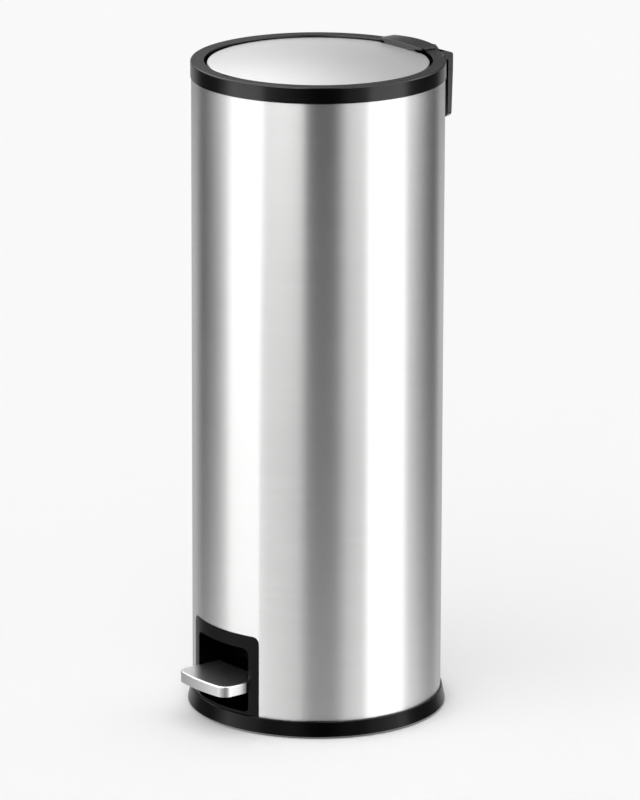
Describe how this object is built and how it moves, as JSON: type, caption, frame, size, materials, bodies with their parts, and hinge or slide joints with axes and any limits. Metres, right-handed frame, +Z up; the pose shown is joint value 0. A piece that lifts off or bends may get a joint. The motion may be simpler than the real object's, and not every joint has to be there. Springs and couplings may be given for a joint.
{
  "type": "pedal trash can",
  "caption": "Tall round pedal bin with a brushed steel body, black top ring, base and rear grip, and a hinged steel lid that a front pedal lifts through an inner rod.",
  "frame": {"origin": "on the can's axis at floor level", "axes": "+Z up along the can's axis, -Y towards the pedal, +Y towards the hinge and the grip"},
  "size_m": [0.2596, 0.2953, 0.6634],
  "materials": {
    "brushed_steel": "fine brushing round the body, satin",
    "black_plastic": "smooth satin moulded black",
    "liner_plastic": "matt moulded dark grey",
    "nylon": "natural nylon",
    "rubber": "matt rubber",
    "plated_steel": "zinc plated"
  },
  "bodies": {
    "can": {"outer_shell": "brushed_steel", "top_ring": "black_plastic", "rear_bracket": "black_plastic", "bracket_screws": "plated_steel", "rear_handle": "black_plastic", "handle_screws": "plated_steel", "hinge_pin": "plated_steel", "base": "black_plastic", "foot_ring": "rubber", "pedal_frame": "black_plastic", "frame_screws": "plated_steel", "inner_bucket": "liner_plastic", "bucket_bail": "plated_steel", "pivot_pin": "plated_steel", "pin_clips": "plated_steel", "pedal_bumper": "rubber", "upper_rod_guide": "nylon", "lower_rod_guide": "nylon", "lid_bumpers": "rubber"},
    "lid": {"lid_skin": "brushed_steel", "lid_pan": "liner_plastic", "hinge_cap": "black_plastic", "hinge_bushes": "nylon", "cap_screws": "plated_steel", "lid_crank": "plated_steel", "crank_screws": "plated_steel"},
    "lift_rod": {"lift_rod": "plated_steel", "rod_clip": "plated_steel"},
    "pedal": {"pedal_tread": "brushed_steel", "tread_core": "liner_plastic", "tread_screws": "plated_steel", "pedal_lever": "plated_steel", "pivot_bushes": "nylon"}
  },
  "joints": [
    {"name": "lid_hinge", "type": "hinge", "parent": "can", "child": "lid", "pos_m": [0, 0.1315, 0.651], "axis": [-1, 0, 0], "range_deg": [0, 80]},
    {"name": "rod_slide", "type": "slide", "parent": "can", "child": "lift_rod", "axis": [0, 0, 1], "range_m": [0, 0.02233]},
    {"name": "pedal_pivot", "type": "hinge", "parent": "can", "child": "pedal", "pos_m": [0, -0.02, 0.031], "axis": [1, 0, 0], "range_deg": [0, 9.24]}
  ],
  "couplings": [
    {"joint": "rod_slide", "follows": "lid_hinge", "m_per_rad": 0.015986},
    {"joint": "pedal_pivot", "follows": "lid_hinge", "ratio": 0.11535}
  ]
}
